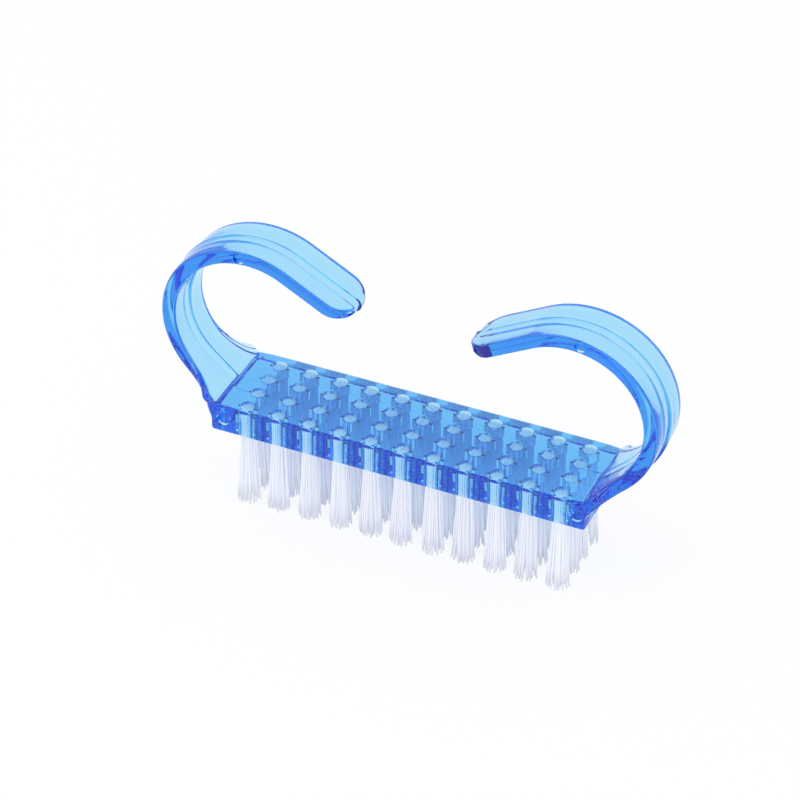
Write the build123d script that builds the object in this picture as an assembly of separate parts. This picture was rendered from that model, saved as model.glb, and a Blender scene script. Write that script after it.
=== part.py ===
"""Acrylic nail brush.

One clear moulding makes the bristle block and the two curled finger hooks.
Forty-four tufts of nylon filament are folded over flat wire anchors and driven into blind holes
in the underside of the block. All sizes are in millimetres.

Frame: X runs along the brush, Y across it and Z up. The origin lies midway along the brush,
midway across it, on the surface that the bristle tips stand on.
"""
from build123d import *
import os
from math import atan, cos, degrees, radians, sin, tan

# Bristle block
block_length = 49.7
block_width = 12.7
block_thickness = 4.2
block_corner_round = 0.5
edge_round = 0.35
draft_angle = 1.0

# Finger hooks: a lean root ramp, one round loop and a straight free limb
root_lean = 42.0
limb_lean = 28.3
loop_radius = 10.6
ramp_length = 4.2
root_drop = 0.7
free_limb_length = 8.3
strip_thickness = 1.95
strip_width = 7.7
tip_corner_radius = 3.2
flare_turn = 80.0
flare_round = 1.0
underside_fillet = 1.5
crook_fillet = 0.4

# Tuft pattern
column_count = 11
row_count = 4
column_pitch = 4.15
row_pitch = 3.04

# Tuft holes
hole_diameter = 2.0
hole_depth = 3.2
loop_cover = 0.55

# Tufts
bristle_length = 10.5
tuft_clearance = 0.04
tuft_tip_diameter = 2.8
tuft_sides = 10

# Flat wire anchors
anchor_length = 2.6
anchor_height = 1.3
anchor_thickness = 0.3
anchor_clearance = 0.02

# Ejector pin marks
pin_mark_depth = 0.12
block_pin_diameter = 1.8
block_pin_inset = 1.55
hook_pin_diameter = 1.4
hook_pin_bearing = 84.0

# Heights and half sizes that follow
block_bottom = bristle_length
block_top = block_bottom + block_thickness
block_end = block_length / 2
block_side = block_width / 2
strip_side = strip_width / 2
hole_radius = hole_diameter / 2
hole_top = block_bottom + hole_depth
anchor_top = hole_top - loop_cover
overreach = 1.0
flank_facing = 0.3

# Directions along and square to the root ramp, and along and square to the free limb
along_ramp = (cos(radians(root_lean)), sin(radians(root_lean)))
off_ramp = (sin(radians(root_lean)), -cos(radians(root_lean)))
along_limb = (cos(radians(limb_lean)), sin(radians(limb_lean)))
off_limb = (sin(radians(limb_lean)), -cos(radians(limb_lean)))
outer_radius = loop_radius + strip_thickness / 2
inner_radius = loop_radius - strip_thickness / 2


def step(point, direction, distance):
    """Return the point reached from another one along a direction."""
    return (point[0] + direction[0] * distance, point[1] + direction[1] * distance)


def around(centre, radius, bearing):
    """Return the point of a circle at a bearing in degrees from +X towards +Z."""
    return (centre[0] + radius * cos(radians(bearing)), centre[1] + radius * sin(radians(bearing)))


ramp_end = step((block_end, block_top - root_drop), along_ramp, ramp_length)
loop_centre = step(ramp_end, off_ramp, -loop_radius)


def half_silhouette():
    """Side view of the right half of the moulding: half the block and one whole hook."""
    ramp_outer = step(loop_centre, off_ramp, outer_radius)
    ramp_inner = step(loop_centre, off_ramp, inner_radius)
    limb_outer = step(loop_centre, off_limb, -outer_radius)
    limb_inner = step(loop_centre, off_limb, -inner_radius)
    wall_joint = step(ramp_outer, along_ramp, (block_end - ramp_outer[0]) / along_ramp[0])
    top_joint = step(ramp_inner, along_ramp, (block_top - ramp_inner[1]) / along_ramp[1])
    tip_outer = step(limb_outer, along_limb, -free_limb_length)
    tip_inner = step(limb_inner, along_limb, -free_limb_length)
    tip_middle = step(tip_outer, off_limb, strip_thickness / 2)
    tip_end = step(tip_middle, along_limb, -strip_thickness / 2)
    halfway = (root_lean + limb_lean) / 2
    with BuildSketch(Plane.XZ) as silhouette:
        with BuildLine():
            Polyline((0, block_top), (0, block_bottom), (block_end, block_bottom), wall_joint, ramp_outer)
            ThreePointArc(ramp_outer, around(loop_centre, outer_radius, halfway), limb_outer)
            Line(limb_outer, tip_outer)
            ThreePointArc(tip_outer, tip_end, tip_inner)
            Line(tip_inner, limb_inner)
            ThreePointArc(limb_inner, around(loop_centre, inner_radius, halfway), ramp_inner)
            Polyline(ramp_inner, top_joint, (0, block_top))
        make_face()
        corners = silhouette.vertices()
        fillet(corners.sort_by_distance((block_end, 0, block_bottom))[0], block_corner_round)
        fillet(corners.sort_by_distance((wall_joint[0], 0, wall_joint[1]))[0], underside_fillet)
        fillet(corners.sort_by_distance((top_joint[0], 0, top_joint[1]))[0], crook_fillet)
    return silhouette.sketch


def flare_waste():
    """Waste beside a root ramp, out to the S-curve that narrows the block's width to the strip's."""
    turn = radians(flare_turn)
    end = block_end + (block_side - strip_side) / tan(turn / 2)
    middle = (block_end + flare_round * sin(turn), block_side - flare_round * (1 - cos(turn)))
    inboard = block_end - overreach
    outboard = loop_centre[0] + outer_radius + overreach
    beyond = block_side + overreach
    with BuildSketch() as plan:
        with BuildLine():
            Line((inboard, block_side), (block_end, block_side))
            TangentArc((block_end, block_side), middle, tangent=(1, 0))
            TangentArc((end, strip_side), middle, tangent=(-1, 0))
            Polyline((end, strip_side), (outboard, strip_side), (outboard, beyond), (inboard, beyond),
                     (inboard, block_side))
        make_face()
    return extrude(plan.sketch, loop_centre[1])


def strip_waste():
    """Waste beside the loop and the free limb, where the strip keeps one width."""
    reach = loop_centre[0] + outer_radius + overreach
    height = outer_radius + overreach
    depth = block_side + overreach - strip_side
    waste = Box(reach, depth, height, align=(Align.MIN, Align.MIN, Align.MIN))
    return waste.move(Location((0, strip_side, loop_centre[1])))


def tip_waste():
    """Waste at the free end, outside the tongue-shaped outline of the tip."""
    limb_middle = step(loop_centre, off_limb, -loop_radius)
    tip_middle = step(limb_middle, along_limb, -free_limb_length - strip_thickness / 2)
    across_limb = Plane(
        origin=(tip_middle[0], 0, tip_middle[1]),
        x_dir=(along_limb[0], 0, along_limb[1]),
        z_dir=(off_limb[0], 0, off_limb[1]),
    )
    beyond = 2 * overreach
    block = Rectangle(tip_corner_radius + beyond, strip_width + beyond, align=(Align.MAX, Align.CENTER))
    block = Pos(tip_corner_radius, 0) * block
    tongue = Rectangle(loop_radius, strip_width, align=(Align.MIN, Align.CENTER))
    tongue = fillet(tongue.vertices().group_by(Axis.X)[0], tip_corner_radius)
    return extrude(across_limb * (block - tongue), strip_thickness, both=True)


def flank_rims(solid):
    """Edges where the drafted surfaces meet the flanks that face +Y."""
    turned = solid.faces().filter_by(lambda face: face.geom_type in (GeomType.PLANE, GeomType.CYLINDER))
    flanks = [face for face in turned if face.normal_at().Y > flank_facing]
    shared = {}
    for face in flanks:
        for edge in face.edges():
            middle = edge @ 0.5
            key = (round(middle.X, 3), round(middle.Y, 3), round(middle.Z, 3))
            shared.setdefault(key, []).append(edge)
    return [edges[0] for edges in shared.values() if len(edges) == 1]


def mould_half():
    """The half of the moulding behind the parting plane, drafted away from it and rounded at its rims."""
    half = half_silhouette()
    silhouette = half + mirror(half, about=Plane.YZ)
    solid = extrude(silhouette, block_side, dir=(0, 1, 0), taper=draft_angle)
    waste = flare_waste() + strip_waste() + tip_waste()
    solid = solid - waste - mirror(waste, about=Plane.YZ)
    return fillet(flank_rims(solid), edge_round)


def tuft_places():
    """Row, column and centre of each tuft, row 1 nearest the front."""
    for row in range(row_count):
        for column in range(column_count):
            x = (column - (column_count - 1) / 2) * column_pitch
            y = (row - (row_count - 1) / 2) * row_pitch
            yield row + 1, column + 1, x, y


def tuft_hole():
    """Cutter for one tuft hole at the origin: a flat-ended bore and the track that its anchor cuts in the wall."""
    depth = hole_depth + overreach
    bore = Cylinder(hole_radius, depth, align=(Align.CENTER, Align.CENTER, Align.MIN))
    track_size = (anchor_length + 2 * anchor_clearance, anchor_thickness + 2 * anchor_clearance)
    track_depth = depth - loop_cover + anchor_clearance
    track = Box(*track_size, track_depth, align=(Align.CENTER, Align.CENTER, Align.MIN))
    return Pos(0, 0, block_bottom - overreach) * (bore + track)


def anchor_blank(extra):
    """One flat wire anchor at the origin, or the room for it when extra is the clearance around it."""
    size = (anchor_length + 2 * extra, anchor_thickness + 2 * extra, anchor_height + 2 * extra)
    blank = Box(*size, align=(Align.CENTER, Align.CENTER, Align.MAX))
    return Pos(0, 0, anchor_top + extra) * blank


def pin_marks():
    """Shallow round ejector marks left in the front flank, one near each end and one on each hook."""
    marks = []
    hook_mark = around(loop_centre, loop_radius, hook_pin_bearing)
    block_mark = (block_end - block_pin_inset, block_bottom + block_thickness / 2)
    for hand in (-1, 1):
        block_pin = Cylinder(block_pin_diameter / 2, 2 * pin_mark_depth, rotation=(90, 0, 0))
        hook_pin = Cylinder(hook_pin_diameter / 2, 2 * pin_mark_depth, rotation=(90, 0, 0))
        marks.append(block_pin.move(Location((hand * block_mark[0], -block_side, block_mark[1]))))
        marks.append(hook_pin.move(Location((hand * hook_mark[0], -strip_side, hook_mark[1]))))
    return marks


def handle_body():
    """The whole clear moulding with its tuft holes, anchor bites and ejector marks."""
    half = mould_half()
    body = half + mirror(half, about=Plane.XZ)
    hole = tuft_hole()
    holes = [Pos(x, y) * hole for _row, _column, x, y in tuft_places()]
    return body - holes - pin_marks()


def tuft():
    """One tuft at the origin: folded root that fills the hole, and a free end that spreads below it."""
    root_radius = hole_radius - tuft_clearance
    root_length = hole_depth - tuft_clearance
    flat_share = cos(radians(180 / tuft_sides))
    spread = degrees(atan((tuft_tip_diameter / 2 - root_radius) * flat_share / block_bottom))
    outline = RegularPolygon(root_radius, tuft_sides)
    free_end = extrude(Pos(0, 0, block_bottom) * outline, block_bottom, dir=(0, 0, -1), taper=-spread)
    root = extrude(Pos(0, 0, block_bottom) * outline, root_length)
    return free_end + root - anchor_blank(anchor_clearance)


def main():
    os.makedirs("parts", exist_ok=True)
    export_step(handle_body(), "parts/handle_body.step")
    one_tuft = tuft()
    anchor = anchor_blank(0)
    rows = {}
    for row, column, x, y in tuft_places():
        export_step(Pos(x, y) * one_tuft, f"parts/tuft_r{row}_c{column:02d}.step")
        rows.setdefault(row, []).append(Pos(x, y) * anchor)
    for row, anchors in rows.items():
        export_step(Compound(children=anchors), f"parts/anchors_row_{row}.step")


main()
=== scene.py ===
"""Looks of the acrylic nail brush: clear blue moulding, nylon tufts with every filament, wire anchors.

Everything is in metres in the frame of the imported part: X along the brush, Y across it, Z up, with
the bristle tips on Z = 0. Sizes of the moulding repeat the part's own; places of the tufts and the
overall box come from the frame.
"""
from math import cos, radians, sin, tan

import bmesh
import bpy
import numpy as np
from mathutils import Matrix, Vector


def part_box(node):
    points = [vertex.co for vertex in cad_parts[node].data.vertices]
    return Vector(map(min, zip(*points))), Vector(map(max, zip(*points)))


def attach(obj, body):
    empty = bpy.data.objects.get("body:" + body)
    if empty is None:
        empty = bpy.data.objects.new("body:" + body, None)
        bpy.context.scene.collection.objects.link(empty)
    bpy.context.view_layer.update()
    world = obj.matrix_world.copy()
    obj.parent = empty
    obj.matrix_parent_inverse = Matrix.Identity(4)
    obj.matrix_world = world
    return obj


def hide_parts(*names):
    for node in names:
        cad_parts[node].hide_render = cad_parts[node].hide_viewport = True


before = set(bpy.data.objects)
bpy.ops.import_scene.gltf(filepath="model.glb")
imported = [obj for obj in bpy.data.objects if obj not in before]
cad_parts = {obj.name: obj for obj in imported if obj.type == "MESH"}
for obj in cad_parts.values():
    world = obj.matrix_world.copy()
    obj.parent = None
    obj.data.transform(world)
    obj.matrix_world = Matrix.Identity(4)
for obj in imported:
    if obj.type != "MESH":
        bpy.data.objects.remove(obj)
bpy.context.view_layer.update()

MM = 0.001
weld_distance = 1e-7

# Moulding: block, root ramp, loop, free limb
body_low, body_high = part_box("handle_body")
block_bottom = body_low.z
block_side = body_high.y
block_top = block_bottom + 4.2 * MM
block_end = 24.85 * MM
block_corner_round = 0.5 * MM
back_edge_round = 0.65 * MM
front_edge_round = 0.25 * MM
draft = tan(radians(1.0))
root_lean = radians(42.0)
limb_lean = radians(28.3)
loop_radius = 10.6 * MM
ramp_length = 4.2 * MM
root_drop = 0.7 * MM
free_limb_length = 8.3 * MM
strip_thickness = 1.95 * MM
front_strip_side = 3.85 * MM
back_strip_side = 3.68 * MM
tip_corner_radius = 3.2 * MM
back_flare_turn = radians(57.0)
front_flare_turn = radians(56.0)
back_flare_round = 0.4 * MM
front_flare_round = 0.6 * MM
back_root_round = 1.1 * MM
front_root_round = 0.85 * MM
root_round_middle = 0.4 * MM
root_round_reach = 1.8 * MM
tip_round = 0.88 * MM
tip_round_reach = 0.8 * MM
most_rim_share = 0.45
underside_fillet = 1.5 * MM
crook_fillet = 0.4 * MM

# Stations on each run and arc of the side view, from mid-block to the tip. On the block's top they lie
# closer from the first distance ahead of the crook, and again from the second.
path_counts = (22, 6, 4, 10, 26, 72, 22, 9)
crook_approach = (0.9 * MM, 0.5 * MM)

# Parting line: a hair of flash, and mould halves that sit a little out of register
flash_height = 0.05 * MM
flash_width = 0.10 * MM
parting_gap = 0.012 * MM
parting_shift = -0.25 * MM
flash_start = 20.5 * MM
flash_full = 23.0 * MM

# Places across a face, from the parting line to the rim, and close together beside the flash
face_steps = np.concatenate([[0, 0.0125, 0.025], np.linspace(0, 1, 6)[1:]])

# Ejector marks in the front flank
pin_mark_depth = 0.36 * MM
pin_cutter_overreach = 0.5 * MM
block_pin_radius = 0.9 * MM
block_pin_inset = 1.55 * MM
hook_pin_radius = 0.7 * MM
hook_pin_bearing = radians(84.0)

# Tuft holes
hole_radius = 1.0 * MM
hole_top = block_bottom + 3.2 * MM
hole_end_round = 0.15 * MM
anchor_top = hole_top - 0.55 * MM
track_length = 2.64 * MM
track_thickness = 0.34 * MM

# Rings of the hole cutter's wall, above the block's underside. The first is below it.
wall_heights = np.array([-1.0, 0.5, 1.2, 2.2]) * MM

# Filaments: their rows and pitch in the hole, and the room that the bundle has there
filament_radius = 0.10 * MM
filament_pitch = 0.29 * MM
filament_sides = 6
leg_rows = np.arange(0.20, 0.88, 0.2) * MM
bundle_radius = 0.90 * MM
mouth_radius = 0.93 * MM
room_radius = 0.92 * MM
least_room = 0.3 * MM
least_lift_span = 0.05 * MM
roof_gap = 0.02 * MM
perch_gap = 0.01 * MM

# Folds over the anchor: height as a share of the row's distance, its limit, and how square the fold is
fold_share = 0.9
fold_limit = 0.36 * MM
fold_squareness = 0.75

# Free ends: stations as shares of the depth below the mouth, half axes of the spread tips, and powers
leg_depths = np.array([1.0, 0.72, 0.42, 0.16, 0.0])
tip_spread = np.array([1.55, 1.35]) * MM
spread_power = 1.25
drift_power = 2
outward_lean = 0.2 * MM
lean_power = 1.5

# Scatter from filament to filament
lay_scatter = 0.012 * MM
tip_scatter = 0.12 * MM
spread_scatter = (0.8, 1.1)
drift_scatter = 0.09 * MM
bow_scatter = 0.04 * MM
first_seed = 11

# Scale of each material's unevenness, in repeats per metre
clarity_scale = 220.0
wave_scale = 420.0
polish_scale = 900.0
streak_scale = 9000.0

# Strength of the surroundings as light, and the share of glow in the floor where it is seen
world_light = 0.92
floor_glow = 0.8

# The view's middle: a place along the block's top, and the way from there along the view's own axes
view_x = -0.27 * MM
view_left = 1.916 * MM
view_up = 2.849 * MM

along_ramp = np.array([cos(root_lean), sin(root_lean)])
off_ramp = np.array([sin(root_lean), -cos(root_lean)])
along_limb = np.array([cos(limb_lean), sin(limb_lean)])
off_limb = np.array([sin(limb_lean), -cos(limb_lean)])
outer_radius = loop_radius + strip_thickness / 2
inner_radius = loop_radius - strip_thickness / 2
ramp_start = np.array([block_end, block_top - root_drop])
loop_centre = ramp_start + along_ramp * ramp_length - off_ramp * loop_radius


# ---------------------------------------------------------------- shapes

def run(start, end, count, normal):
    """Straight run: the start moved towards the end in equal steps, all with one normal."""
    t = np.linspace(0, 1, count + 1)[1:, None]
    points = np.asarray(start) * (1 - t) + np.asarray(end) * t
    return points, np.tile(np.asarray(normal, float), (count, 1))


def arc(centre, radius, start, end, count, facing=1.0):
    """Arc of a circle: centre plus radius times (cos a, sin a).

    The normal lies along the radius, or against it where facing is -1.
    """
    a = np.linspace(start, end, count + 1)[1:]
    spoke = np.stack([np.cos(a), np.sin(a)], 1)
    return np.asarray(centre) + radius * spoke, facing * spoke


def outer_path(counts):
    """Side view of the right half's outer edge.

    It runs from mid-block along the underside, up the end wall and round the hook to its tip.
    """
    ramp_outer = loop_centre + off_ramp * outer_radius
    joint = ramp_outer - along_ramp * (ramp_outer[0] - block_end) / along_ramp[0]
    reach = underside_fillet * tan((np.pi / 2 - root_lean) / 2)
    fillet_centre = joint + np.array([underside_fillet, -reach])
    corner = np.array([block_end - block_corner_round, block_bottom + block_corner_round])
    limb_outer = loop_centre - off_limb * outer_radius
    tip_outer = limb_outer - along_limb * free_limb_length
    tip_middle = tip_outer + off_limb * strip_thickness / 2
    parts = [
        run((0, block_bottom), (corner[0], block_bottom), counts[0], (0, -1)),
        arc(corner, block_corner_round, -np.pi / 2, 0, counts[1]),
        run((block_end, corner[1]), (block_end, fillet_centre[1]), counts[2], (1, 0)),
        arc(fillet_centre, underside_fillet, np.pi, np.pi / 2 + root_lean, counts[3], -1.0),
        run(joint + along_ramp * reach, ramp_outer, counts[4], off_ramp),
        arc(loop_centre, outer_radius, root_lean - np.pi / 2, limb_lean + np.pi / 2, counts[5]),
        run(limb_outer, tip_outer, counts[6], -off_limb),
        arc(tip_middle, strip_thickness / 2, limb_lean + np.pi / 2, limb_lean + np.pi, counts[7]),
    ]
    return stack_path(parts)


def inner_path(counts):
    """Side view of the right half's inner edge.

    It runs from mid-block along the top and round inside the hook to its tip.
    """
    ramp_inner = loop_centre + off_ramp * inner_radius
    joint = ramp_inner - along_ramp * (ramp_inner[1] - block_top) / along_ramp[1]
    reach = crook_fillet * tan(root_lean / 2)
    fillet_centre = joint + np.array([-reach, crook_fillet])
    crook = fillet_centre[0]
    far, near = crook_approach
    limb_inner = loop_centre - off_limb * inner_radius
    tip_inner = limb_inner - along_limb * free_limb_length
    tip_middle = tip_inner - off_limb * strip_thickness / 2
    parts = [
        run((0, block_top), (crook - far, block_top), counts[0], (0, 1)),
        run((crook - far, block_top), (crook - near, block_top), counts[1], (0, 1)),
        run((crook - near, block_top), (crook, block_top), counts[2], (0, 1)),
        arc(fillet_centre, crook_fillet, -np.pi / 2, root_lean - np.pi / 2, counts[3], -1.0),
        run(joint + along_ramp * reach, ramp_inner, counts[4], -off_ramp),
        arc(loop_centre, inner_radius, root_lean - np.pi / 2, limb_lean + np.pi / 2, counts[5], -1.0),
        run(limb_inner, tip_inner, counts[6], off_limb),
        arc(tip_middle, strip_thickness / 2, limb_lean + 1.5 * np.pi, limb_lean + np.pi, counts[7]),
    ]
    return stack_path(parts)


def stack_path(parts):
    """Join runs and arcs into one path of points and one of normals."""
    points, normals = zip(*parts)
    return np.vstack(points), np.vstack(normals)


def flare_half_width(x, turn, strip_side, flare_round):
    """Half width beside the root ramp, where a tight arc leaves the block and a wide one meets the strip.

    Both arcs turn by the same angle, and their radii add up to length / sin(turn).
    """
    flare_length = (block_side - strip_side) / tan(turn / 2)
    hollow = flare_length / sin(turn) - flare_round
    past = np.clip(x - block_end, 0, flare_length)
    near = np.minimum(past, flare_round * sin(turn))
    left = np.minimum(flare_length - past, hollow * sin(turn))
    first = block_side - (flare_round - np.sqrt(flare_round ** 2 - near ** 2))
    second = strip_side + (hollow - np.sqrt(hollow ** 2 - left ** 2))
    return np.where(past < flare_round * sin(turn), first, second)


def half_widths(path, counts, rooted, turn, strip_side, flare_round):
    """Half width at each station: the flare up to the loop, then the strip, then the tongue-shaped tip."""
    width = np.full(len(path), strip_side)
    width[:rooted] = flare_half_width(path[:rooted, 0], turn, strip_side, flare_round)
    limb = len(path) - counts[6] - counts[7]
    limb_start = path[limb - 1]
    travelled = (path[limb:] - limb_start) @ -along_limb
    full = free_limb_length + strip_thickness / 2
    past = np.clip(travelled - (full - tip_corner_radius), 0, tip_corner_radius)
    width[limb:] = strip_side - tip_corner_radius + np.sqrt(tip_corner_radius ** 2 - past ** 2)
    return width


def ring_half(outer, outer_normal, inner, inner_normal, outer_width, inner_width, rooted, flashed,
              side, turn, strip_side, flare_round, edge_round, root_round):
    """Half of every ring, on one side of the parting plane, from the outer face to the inner one.

    A point on a face lies at y times the draft below it. A rim point is the face point moved against the
    normal by r(1 - cos a) and outwards by r sin a, for a from 0 to a quarter turn. The radius r is the
    edge's own. It grows to the tip's as the outline narrows there, and on the inner face to the root's,
    by a bell curve around the crook. The flank is the straight mix of the two rims, and at the root its
    half width is the flare's at that X.
    """
    thickness = np.linalg.norm(outer - inner, axis=1)
    off_crook = np.abs(inner[:, 0]) - block_end - root_round_middle
    near_root = np.exp(-(off_crook / root_round_reach) ** 2) * rooted
    near_tip = np.clip((strip_side - outer_width) / tip_round_reach, 0, 1)
    rim = edge_round + (tip_round - edge_round) * near_tip
    most_rim = most_rim_share * thickness
    outer_rim = np.minimum(rim, most_rim)[:, None]
    inner_rim = np.minimum(rim + (root_round - edge_round) * near_root, most_rim)[:, None]
    bend = np.linspace(0, np.pi / 2, 6)[None, 1:]
    mix = np.linspace(0, 1, 5)[1:-1]

    def face_and_rim(edge, normal, width, rim):
        y_flat = parting_gap + face_steps * (width[:, None] - rim - parting_gap)
        y_rim = width[:, None] - rim + rim * np.sin(bend)
        y = np.hstack([y_flat, y_rim])
        fading = np.clip(1 - (y_flat - parting_gap) / flash_width, 0, 1) ** 2
        flash = flash_height * flashed[:, None] * fading
        sunk = draft * y + np.hstack([-flash, rim * (1 - np.cos(bend))])
        points = edge[:, None, :] - normal[:, None, :] * sunk[:, :, None]
        return np.dstack([points[:, :, 0], side * y, points[:, :, 1]])

    upper = face_and_rim(outer, outer_normal, outer_width, outer_rim)
    lower = face_and_rim(inner, inner_normal, inner_width, inner_rim)[:, ::-1]
    flank = upper[:, -1:, :] * (1 - mix)[None, :, None] + lower[:, :1, :] * mix[None, :, None]
    at_root = rooted > 0.5
    root_x = np.abs(flank[at_root, :, 0])
    flank[at_root, :, 1] = side * flare_half_width(root_x, turn, strip_side, flare_round)
    half = np.concatenate([upper, flank, lower], 1)
    if side < 0:
        half[:, :, 0] += parting_shift
    return half


def moulding_grid():
    """Rings of the whole moulding, from the left tip to the right one, as one grid.

    The first axis is the station along the moulding, and the second the place on the ring.
    """
    counts = path_counts
    rooted = sum(counts[:5]) + counts[5] // 3  # the root reaches up to a third of the loop
    outer, outer_normal = outer_path(counts)
    inner, inner_normal = inner_path(counts)
    station = np.arange(len(outer))
    root_mask = (station < rooted).astype(float)
    fading = np.clip((inner[:, 0] - flash_start) / (flash_full - flash_start), 0, 1)
    flashed = np.where(station < sum(counts[:3]), fading, 1.0)
    limb = counts[6] + counts[7]
    flip = np.array([-1.0, 1.0])

    def both_hands(values):
        return np.concatenate([values[::-1] * (flip if values.ndim == 2 else 1.0), values])

    halves = []
    back_flare = (back_flare_turn, back_strip_side, back_flare_round)
    front_flare = (front_flare_turn, front_strip_side, front_flare_round)
    back = (1.0, back_flare, (back_edge_round, back_root_round))
    front = (-1.0, front_flare, (front_edge_round, front_root_round))
    for side, flare, rims in (back, front):
        outer_width = half_widths(outer, counts, rooted, *flare)
        inner_width = half_widths(inner, counts, rooted, *flare)
        inner_width[-limb:] = outer_width[-limb:]
        single = (outer, outer_normal, inner, inner_normal,
                  outer_width, inner_width, root_mask, flashed)
        lines = [both_hands(values) for values in single]
        halves.append(ring_half(*lines, side, *flare, *rims))
    return np.concatenate([halves[0], halves[1][:, ::-1]], 1)


def grid_faces(stations, around):
    """Quads between neighbouring rings of a grid whose rings are closed."""
    i, j = np.meshgrid(np.arange(stations - 1), np.arange(around), indexing="ij")
    k = (j + 1) % around
    quads = np.stack([i * around + j, i * around + k, (i + 1) * around + k, (i + 1) * around + j], -1)
    return quads.reshape(-1, 4)


def repeat_faces(faces, size, copies):
    """The faces of one copy, repeated for copies that have the same number of points each."""
    return (faces[None] + (np.arange(copies) * size)[:, None, None]).reshape(-1, faces.shape[1])


def make_mesh(name, points, quads, extra=()):
    """A mesh object at the origin from an array of points, an array of quads and any further faces."""
    mesh = bpy.data.meshes.new(name)
    mesh.from_pydata(points.reshape(-1, 3).tolist(), [], quads.tolist() + [list(face) for face in extra])
    mesh.update()
    made = bpy.data.objects.new(name, mesh)
    bpy.context.scene.collection.objects.link(made)
    return made


def weld(made):
    """Merge doubles, drop faces without area and turn all faces outwards."""
    work = bmesh.new()
    work.from_mesh(made.data)
    bmesh.ops.remove_doubles(work, verts=work.verts, dist=weld_distance)
    bmesh.ops.dissolve_degenerate(work, dist=weld_distance, edges=work.edges)
    bmesh.ops.recalc_face_normals(work, faces=work.faces)
    work.to_mesh(made.data)
    work.free()


def hole_cutters():
    """All tuft holes as two meshes: the bores and the anchors' tracks.

    A bore is a turned profile (mouth, wall, rounded rim, flat end), and a track is a box across it.
    """
    around = 40
    slope = np.linspace(0, np.pi / 2, 6)
    wall_radii = np.full(len(wall_heights), hole_radius)
    radii = np.concatenate([wall_radii, hole_radius - hole_end_round * (1 - np.cos(slope))])
    heights = np.concatenate([block_bottom + wall_heights, hole_top - hole_end_round * (1 - np.sin(slope))])
    angle = np.linspace(0, 2 * np.pi, around, endpoint=False)
    ring = np.stack([np.cos(angle), np.sin(angle)], 1)
    bore = np.concatenate([radii[:, None, None] * ring, np.repeat(heights[:, None, None], around, 1)], 2)
    bore = np.vstack([bore.reshape(-1, 3), [(0, 0, hole_top)]])
    spoke = np.arange(around)
    lid = spoke[::-1]
    last = (len(radii) - 1) * around
    end = np.stack([last + spoke, last + (spoke + 1) % around, np.full(around, len(bore) - 1)], 1)
    centres = np.array([(x, y, 0.0) for _name, x, y in tuft_places()])
    caps = [face + len(bore) * i for i in range(len(centres)) for face in (lid, *end)]
    walls = repeat_faces(grid_faces(len(radii), around), len(bore), len(centres))
    bores = make_mesh("bores", bore + centres[:, None, :], walls, caps)
    half = np.array([track_length / 2, track_thickness / 2])
    corner = np.array([[-1, -1], [1, -1], [1, 1], [-1, 1]]) * half
    low = np.hstack([corner, np.full((4, 1), heights[0])])
    high = np.hstack([corner, np.full((4, 1), anchor_top)])
    box = np.vstack([low, high])
    box_quads = np.array([
        [3, 2, 1, 0], [4, 5, 6, 7], [0, 1, 5, 4], [1, 2, 6, 5], [2, 3, 7, 6], [3, 0, 4, 7]])
    sides = repeat_faces(box_quads, len(box), len(centres))
    tracks = make_mesh("tracks", box + centres[:, None, :], sides)
    return bores, tracks


def pin_cutters():
    """Round ejector marks in the front flank: two in the block, one near the crown of each hook."""
    around = 32
    angle = np.linspace(0, 2 * np.pi, around, endpoint=False)
    ring = np.stack([np.cos(angle), np.zeros(around), np.sin(angle)], 1)
    hook_x = loop_centre[0] + loop_radius * cos(hook_pin_bearing)
    hook_z = loop_centre[1] + loop_radius * sin(hook_pin_bearing)
    block_z = (block_bottom + block_top) / 2
    block_mark = (block_end - block_pin_inset, block_side, block_z, block_pin_radius)
    hook_mark = (hook_x, front_strip_side, hook_z, hook_pin_radius)
    points, caps = [], []
    for hand in (-1, 1):
        for x, y, z, radius in (block_mark, hook_mark):
            inside = np.array([hand * x, -y, z]) + ring * radius + [0, pin_mark_depth, 0]
            outside = np.array([hand * x, -y, z]) + ring * radius + [0, -pin_cutter_overreach, 0]
            first = 2 * around * len(points)
            points.append(np.vstack([inside, outside]))
            caps.append(first + np.arange(around))
            caps.append(first + around + np.arange(around)[::-1])
    walls = repeat_faces(grid_faces(2, around), 2 * around, len(points))
    return make_mesh("pins", np.vstack(points), walls, caps)


def tuft_places():
    """Name and centre of each packed tuft."""
    names = sorted(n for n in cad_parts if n.startswith("tuft_"))
    places = []
    for name in names:
        low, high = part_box(name)
        places.append((name, (low.x + high.x) / 2, (low.y + high.y) / 2))
    return places


def cut_away(made, cutters):
    """Cut each cutter out of the piece and drop the cutters."""
    for cutter in cutters:
        weld(cutter)
        cut = made.modifiers.new("cut", "BOOLEAN")
        cut.operation = "DIFFERENCE"
        cut.solver = "EXACT"
        cut.object = cutter
        depsgraph = bpy.context.evaluated_depsgraph_get()
        mesh = bpy.data.meshes.new_from_object(made.evaluated_get(depsgraph))
        made.modifiers.clear()
        made.data = mesh
        bpy.data.objects.remove(cutter)


def smooth_by_angle(made, degrees):
    """Smooth shading with edges sharper than the angle kept, and normals weighted by face area."""
    made.data.shade_smooth()
    work = bmesh.new()
    work.from_mesh(made.data)
    limit = radians(degrees)
    for edge in work.edges:
        edge.smooth = len(edge.link_faces) == 2 and edge.calc_face_angle(0.0) < limit
    work.to_mesh(made.data)
    work.free()
    weighted = made.modifiers.new("even_normals", "WEIGHTED_NORMAL")
    weighted.mode = "FACE_AREA"
    weighted.weight = 50
    weighted.keep_sharp = True


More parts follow.
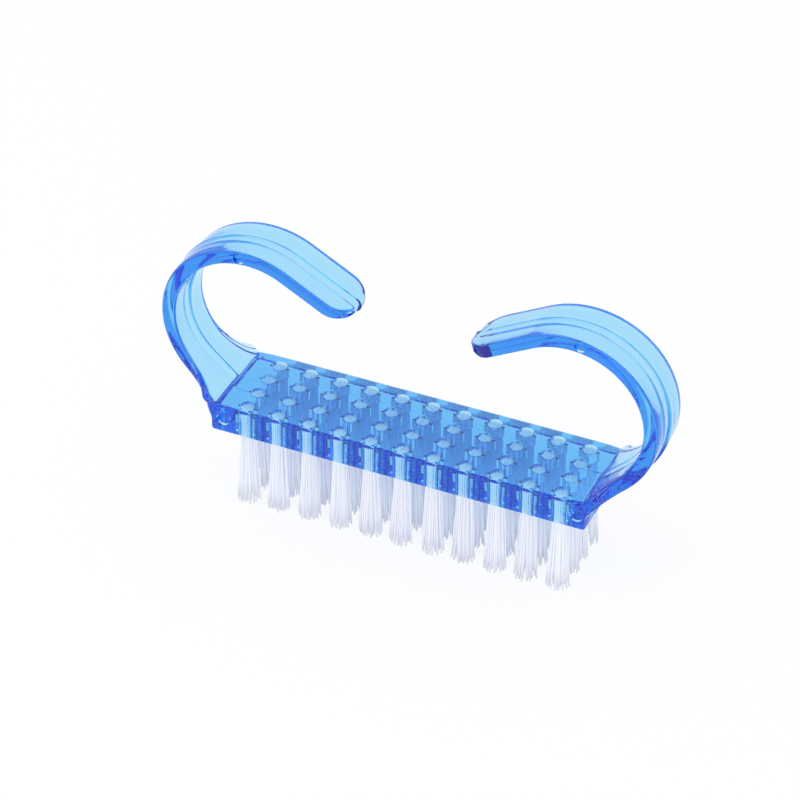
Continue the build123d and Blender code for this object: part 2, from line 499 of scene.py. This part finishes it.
def clear_moulding():
    """The clear handle body with its holes, tracks and ejector marks."""
    grid = moulding_grid()
    made = make_mesh("clear_moulding", grid, grid_faces(grid.shape[0], grid.shape[1]))
    weld(made)
    bores, tracks = hole_cutters()
    cut_away(made, [bores, tracks, pin_cutters()])
    smooth_by_angle(made, degrees=28.0)
    return made


def filament_lay(rng):
    """Where the filaments of a tuft stand in its hole: level rows, each a little out of line."""
    lay = []
    for depth in leg_rows:
        across = int(np.sqrt(bundle_radius ** 2 - depth ** 2) / filament_pitch)
        lay.extend((v * filament_pitch, depth) for v in range(-across, across + 1))
    return np.array(lay) + rng.normal(0, lay_scatter, (len(lay), 2))


def free_legs(rng, lay, sign):
    """Free ends on one side of a tuft, from the tips up to the mouth.

    Below the mouth a filament's distance from the axis grows by a power of the depth. Each leg also
    drifts by the square of the depth and bows by its sine, and the tips keep inside an ellipse.
    """
    loops = len(lay)
    tip = rng.uniform(0.0, tip_scatter, loops)
    spread = (tip_spread / mouth_radius - 1) * rng.uniform(*spread_scatter, loops)[:, None]
    drift = rng.normal(0, drift_scatter, (loops, 2))
    bow = rng.normal(0, bow_scatter, (loops, 2))
    z = tip[:, None] + (block_bottom - tip)[:, None] * (1 - leg_depths)[None, :]
    opened = leg_depths ** spread_power
    drifted = leg_depths ** drift_power
    bowed = np.sin(np.pi * leg_depths)
    px = lay[:, :1] * (1 + spread[:, :1] * opened) + drift[:, :1] * drifted + bow[:, :1] * bowed
    py = sign * lay[:, 1:] * (1 + spread[:, 1:] * opened) + drift[:, 1:] * drifted + bow[:, 1:] * bowed
    limit = tip_spread - filament_radius
    far = np.hypot(px / limit[0], py / limit[1])
    hold = np.minimum(1.0, 1.0 / np.maximum(far, 1e-9))
    return np.stack([px * hold, py * hold, z], -1)


def anchor_folds(lay):
    """Folds of the filaments over the anchor: half an ellipse each, the outer rows over the inner ones."""
    deepest = np.sqrt(np.maximum(room_radius ** 2 - lay[:, 0] ** 2, least_room ** 2))
    span = np.maximum(deepest - leg_rows[0], least_lift_span)
    lift = np.clip((lay[:, 1] - leg_rows[0]) / span, 0, 1)
    over_rim = np.clip(np.abs(lay[:, 0]) - (hole_radius - hole_end_round), 0, hole_end_round)
    rim_drop = hole_end_round - np.sqrt(hole_end_round ** 2 - over_rim ** 2)
    roof = hole_top - filament_radius - roof_gap - rim_drop
    perch = anchor_top + filament_radius + perch_gap
    apex = perch + lift * (roof - perch)
    height = np.minimum(lay[:, 1] * fold_share, fold_limit)
    turn = np.linspace(0, np.pi, 7)
    rise = np.sin(turn)[None, :] ** fold_squareness
    return np.stack([
        np.repeat(lay[:, :1], len(turn), 1),
        -lay[:, 1:] * np.cos(turn)[None, :],
        (apex - height)[:, None] + height[:, None] * rise], -1)


def tube_points(path):
    """A ring of points round every station of every path, square to the path's own direction."""
    ahead = np.gradient(path, axis=1)
    ahead /= np.linalg.norm(ahead, axis=2, keepdims=True)
    across = np.cross(ahead, [1.0, 0.0, 0.0])
    across /= np.linalg.norm(across, axis=2, keepdims=True)
    outward = np.cross(across, ahead)
    spin = np.arange(filament_sides) * 2 * np.pi / filament_sides
    ring = (np.cos(spin)[None, None, :, None] * outward[:, :, None, :]
            + np.sin(spin)[None, None, :, None] * across[:, :, None, :]) * filament_radius
    return path[:, :, None, :] + ring


def tuft_filaments(name, x, y, outer_row, seed):
    """One tuft: filaments doubled over the anchor, each a tube along a hairpin path.

    A filament goes up from one tip, through the mouth, over the anchor and down to the other tip. The
    whole tuft leans outwards by a power of the depth below the mouth, and by the cube of its row's
    distance from the middle. The tube is a six-sided ring carried along the path.
    """
    rng = np.random.default_rng(seed)
    lay = filament_lay(rng)
    front_legs = free_legs(rng, lay, -1)
    back_legs = free_legs(rng, lay, 1)[:, ::-1]
    path = np.concatenate([front_legs, anchor_folds(lay), back_legs], 1) + np.array([x, y, 0.0])
    below = np.clip(1 - path[:, :, 2] / block_bottom, 0, 1)
    path[:, :, 1] += outward_lean * (y / outer_row) ** 3 * below ** lean_power
    loops, stations = path.shape[:2]
    size = stations * filament_sides
    walls = repeat_faces(grid_faces(stations, filament_sides), size, loops)
    first = np.arange(loops)[:, None] * size + np.arange(filament_sides)[::-1]
    last = np.arange(loops)[:, None] * size + size - filament_sides + np.arange(filament_sides)
    made = make_mesh(name, tube_points(path), walls, np.vstack([first, last]).tolist())
    made.data.shade_smooth()
    tone = np.repeat(rng.uniform(0, 1, loops), size).astype(np.float32)
    shade = made.data.attributes.new("tone", "FLOAT", "POINT")
    shade.data.foreach_set("value", tone)
    return made


# ---------------------------------------------------------------- materials

def new_material(name):
    """An empty node material with its Principled shader and output."""
    material = bpy.data.materials.new(name)
    material.use_nodes = True
    nodes = material.node_tree.nodes
    return material, nodes, material.node_tree.links, nodes["Principled BSDF"], nodes["Material Output"]


def let_light_through(material, shader, output, tint, soft_share):
    """Let light pass each surface with a tint: all of the lamps' light and a share of the soft light.

    The other rays meet the shader, those from the camera among them.
    """
    nodes = material.node_tree.nodes
    links = material.node_tree.links
    through = nodes.new("ShaderNodeBsdfTransparent")
    through.inputs["Color"].default_value = tint
    path = nodes.new("ShaderNodeLightPath")
    mix = nodes.new("ShaderNodeMixShader")
    soft = nodes.new("ShaderNodeMath")
    soft.operation = "MULTIPLY"
    soft.inputs[1].default_value = soft_share
    links.new(path.outputs["Is Diffuse Ray"], soft.inputs[0])
    either = nodes.new("ShaderNodeMath")
    either.operation = "MAXIMUM"
    links.new(path.outputs["Is Shadow Ray"], either.inputs[0])
    links.new(soft.outputs[0], either.inputs[1])
    links.new(either.outputs[0], mix.inputs["Fac"])
    links.new(shader.outputs["BSDF"], mix.inputs[1])
    links.new(through.outputs["BSDF"], mix.inputs[2])
    links.new(mix.outputs["Shader"], output.inputs["Surface"])


def uneven_group():
    """Node group: noise in the object's own metres, stretched by a scale, as one value from 0 to 1."""
    group = bpy.data.node_groups.new("uneven", "ShaderNodeTree")
    scale_in = group.interface.new_socket("Stretch", in_out="INPUT", socket_type="NodeSocketVector")
    scale_in.default_value = (1, 1, 1)
    size_in = group.interface.new_socket("Scale", in_out="INPUT", socket_type="NodeSocketFloat")
    size_in.default_value = 100.0
    group.interface.new_socket("Value", in_out="OUTPUT", socket_type="NodeSocketFloat")
    nodes = group.nodes
    links = group.links
    inside = nodes.new("NodeGroupInput")
    outside = nodes.new("NodeGroupOutput")
    place = nodes.new("ShaderNodeTexCoord")
    stretch = nodes.new("ShaderNodeVectorMath")
    stretch.operation = "MULTIPLY"
    noise = nodes.new("ShaderNodeTexNoise")
    noise.inputs["Detail"].default_value = 3.0
    links.new(place.outputs["Object"], stretch.inputs[0])
    links.new(inside.outputs["Stretch"], stretch.inputs[1])
    links.new(stretch.outputs["Vector"], noise.inputs["Vector"])
    links.new(inside.outputs["Scale"], noise.inputs["Scale"])
    links.new(noise.outputs["Fac"], outside.inputs["Value"])
    return group


def uneven_value(material, group, stretch, scale):
    """Place the uneven group in a material with its own stretch and scale."""
    node = material.node_tree.nodes.new("ShaderNodeGroup")
    node.node_tree = group
    node.inputs["Stretch"].default_value = stretch
    node.inputs["Scale"].default_value = scale
    return node.outputs["Value"]


def spread_between(material, value, low, high, target):
    """Send a value to a socket, mapped from 0.3..0.7 to a low and a high number."""
    span = material.node_tree.nodes.new("ShaderNodeMapRange")
    span.inputs["From Min"].default_value = 0.3
    span.inputs["From Max"].default_value = 0.7
    span.inputs["To Min"].default_value = low
    span.inputs["To Max"].default_value = high
    material.node_tree.links.new(value, span.inputs["Value"])
    material.node_tree.links.new(span.outputs["Result"], target)


def clear_blue_acrylic(uneven):
    """Water-clear acrylic whose blue comes from depth: absorption takes red first, then green.

    The skin is a little wavy from the mould, and its polish varies slightly.
    """
    material, nodes, links, shader, output = new_material("clear_blue_acrylic")
    clarity = nodes.new("ShaderNodeValToRGB")
    clarity.color_ramp.elements[0].color = (0.975, 0.99, 1.0, 1)
    clarity.color_ramp.elements[1].color = (1.0, 1.0, 1.0, 1)
    links.new(uneven_value(material, uneven, (1, 1, 1), clarity_scale), clarity.inputs["Fac"])
    links.new(clarity.outputs["Color"], shader.inputs["Base Color"])
    waves = nodes.new("ShaderNodeBump")
    waves.inputs["Strength"].default_value = 0.35
    waves.inputs["Distance"].default_value = 0.04 * MM
    links.new(uneven_value(material, uneven, (1, 1, 1), wave_scale), waves.inputs["Height"])
    links.new(waves.outputs["Normal"], shader.inputs["Normal"])
    polish = uneven_value(material, uneven, (1, 1, 1), polish_scale)
    spread_between(material, polish, low=0.0, high=0.03, target=shader.inputs["Roughness"])
    shader.inputs["Transmission Weight"].default_value = 1.0
    shader.inputs["IOR"].default_value = 1.49
    depth = nodes.new("ShaderNodeVolumeAbsorption")
    depth.inputs["Color"].default_value = (0.06, 0.70, 0.97, 1)
    depth.inputs["Density"].default_value = 490.0
    links.new(depth.outputs["Volume"], output.inputs["Volume"])
    let_light_through(material, shader, output, tint=(1, 1, 1, 1), soft_share=1.0)
    return material


def white_nylon():
    """Drawn white nylon: slightly uneven from filament to filament."""
    material, nodes, links, shader, output = new_material("white_nylon")
    tone = nodes.new("ShaderNodeAttribute")
    tone.attribute_name = "tone"
    ramp = nodes.new("ShaderNodeValToRGB")
    ramp.color_ramp.elements[0].color = (0.80, 0.81, 0.88, 1)
    ramp.color_ramp.elements[1].color = (0.89, 0.895, 0.94, 1)
    links.new(tone.outputs["Fac"], ramp.inputs["Fac"])
    links.new(ramp.outputs["Color"], shader.inputs["Base Color"])
    shader.inputs["Roughness"].default_value = 0.45
    let_light_through(material, shader, output, tint=(0.99, 0.991, 0.993, 1), soft_share=0.85)
    return material


def drawn_wire(uneven):
    """Flat drawn wire with fine streaks along its length."""
    material, nodes, links, shader, _output = new_material("drawn_wire")
    streaks = uneven_value(material, uneven, (0.04, 1, 1), streak_scale)
    metal = nodes.new("ShaderNodeValToRGB")
    metal.color_ramp.elements[0].color = (0.80, 0.81, 0.83, 1)
    metal.color_ramp.elements[1].color = (0.93, 0.93, 0.94, 1)
    links.new(streaks, metal.inputs["Fac"])
    links.new(metal.outputs["Color"], shader.inputs["Base Color"])
    shader.inputs["Metallic"].default_value = 1.0
    spread_between(material, streaks, low=0.45, high=0.65, target=shader.inputs["Roughness"])
    return material


def dress(made, material):
    """Give a piece one material."""
    made.data.materials.clear()
    made.data.materials.append(material)


# ---------------------------------------------------------------- pieces

def build_pieces():
    """All visible pieces of the brush, each on the one body."""
    uneven = uneven_group()
    body = clear_moulding()
    dress(body, clear_blue_acrylic(uneven))
    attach(body, "root")
    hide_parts("handle_body")
    nylon = white_nylon()
    outer_row = max(y for _name, _x, y in tuft_places())
    for seed, (name, x, y) in enumerate(tuft_places(), first_seed):
        filaments = tuft_filaments(name.replace("tuft_", "filaments_"), x, y, outer_row, seed)
        dress(filaments, nylon)
        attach(filaments, "root")
        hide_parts(name)
    wire = drawn_wire(uneven)
    for name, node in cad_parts.items():
        if name.startswith("anchors_"):
            for slot in node.material_slots:
                slot.material = wire


# ---------------------------------------------------------------- stage, light and camera

def seen_rays(nodes, links):
    """1 for rays from the camera, also by way of gloss or glass, and 0 for rays that light the scene."""
    path = nodes.new("ShaderNodeLightPath")
    first = nodes.new("ShaderNodeMath")
    first.operation = "MAXIMUM"
    links.new(path.outputs["Is Camera Ray"], first.inputs[0])
    links.new(path.outputs["Is Glossy Ray"], first.inputs[1])
    second = nodes.new("ShaderNodeMath")
    second.operation = "MAXIMUM"
    links.new(first.outputs[0], second.inputs[0])
    links.new(path.outputs["Is Transmission Ray"], second.inputs[1])
    return second.outputs[0]


def studio_world():
    """Surroundings that are white where they are seen, and a little weaker as light."""
    world = bpy.data.worlds.new("studio")
    world.use_nodes = True
    bpy.context.scene.world = world
    nodes = world.node_tree.nodes
    links = world.node_tree.links
    background = nodes["Background"]
    background.inputs["Color"].default_value = (1, 1, 1, 1)
    strength = nodes.new("ShaderNodeMapRange")
    strength.inputs["To Min"].default_value = world_light
    strength.inputs["To Max"].default_value = 1.0
    links.new(seen_rays(nodes, links), strength.inputs["Value"])
    links.new(strength.outputs["Result"], background.inputs["Strength"])


def pale_floor():
    """Plain pale floor. A glow, only where it is seen, whitens it and leaves some of the shadow."""
    bpy.ops.mesh.primitive_plane_add(size=3.0, location=(0, 0, 0))
    floor = bpy.context.object
    floor.name = "floor"
    material, nodes, links, shader, output = new_material("floor_white")
    shader.inputs["Base Color"].default_value = (0.93, 0.93, 0.94, 1)
    shader.inputs["Roughness"].default_value = 0.9
    shader.inputs["Specular IOR Level"].default_value = 0.0
    glow = nodes.new("ShaderNodeEmission")
    glow.inputs["Color"].default_value = (1, 1, 1, 1)
    share = nodes.new("ShaderNodeMath")
    share.operation = "MULTIPLY"
    share.inputs[1].default_value = floor_glow
    links.new(seen_rays(nodes, links), share.inputs[0])
    mix = nodes.new("ShaderNodeMixShader")
    links.new(share.outputs[0], mix.inputs["Fac"])
    links.new(shader.outputs["BSDF"], mix.inputs[1])
    links.new(glow.outputs["Emission"], mix.inputs[2])
    links.new(mix.outputs["Shader"], output.inputs["Surface"])
    dress(floor, material)


def area_lamp(name, place, target, size, power):
    """A square soft lamp that points at a target."""
    lamp = bpy.data.lights.new(name, "AREA")
    lamp.size = size
    lamp.energy = power
    holder = bpy.data.objects.new(name, lamp)
    bpy.context.scene.collection.objects.link(holder)
    holder.location = place
    aim = np.asarray(target, float) - np.asarray(place, float)
    holder.rotation_euler = Vector(aim).to_track_quat("-Z", "Y").to_euler()


def camera():
    """Long lens from the front right, well above the brush."""
    azimuth = radians(23.43)
    elevation = radians(36.63)
    roll = 0.00905
    distance = 456.5 * MM
    right = Vector((cos(azimuth), sin(azimuth), 0))
    back = Vector((sin(azimuth) * cos(elevation), -cos(azimuth) * cos(elevation), sin(elevation)))
    up = back.cross(right)
    level_right = right * cos(roll) + up * sin(roll)
    level_up = up * cos(roll) - right * sin(roll)
    aim = Vector((view_x, 0, block_top)) - level_right * view_left + level_up * view_up
    lens = bpy.data.cameras.new("camera")
    lens.sensor_width = 36.0
    lens.lens = 168.4
    lens.clip_start = 0.01
    holder = bpy.data.objects.new("camera", lens)
    bpy.context.scene.collection.objects.link(holder)
    turn = Matrix((level_right, level_up, back)).transposed().to_4x4()
    holder.matrix_world = Matrix.Translation(aim + back * distance) @ turn
    bpy.context.scene.camera = holder


build_pieces()
studio_world()
pale_floor()
area_lamp("key", place=(-0.30, -0.20, 0.45), target=(0, 0, 0.015), size=0.30, power=0.55)
area_lamp("fill", place=(0.22, -0.50, 0.16), target=(0, 0, 0.008), size=0.40, power=0.75)
camera()
bpy.context.scene.view_settings.view_transform = "Standard"
bpy.context.scene.cycles.max_bounces = 24
bpy.context.scene.cycles.transmission_bounces = 24
bpy.context.scene.cycles.glossy_bounces = 24
bpy.context.scene.cycles.diffuse_bounces = 16
bpy.context.scene.cycles.transparent_max_bounces = 64
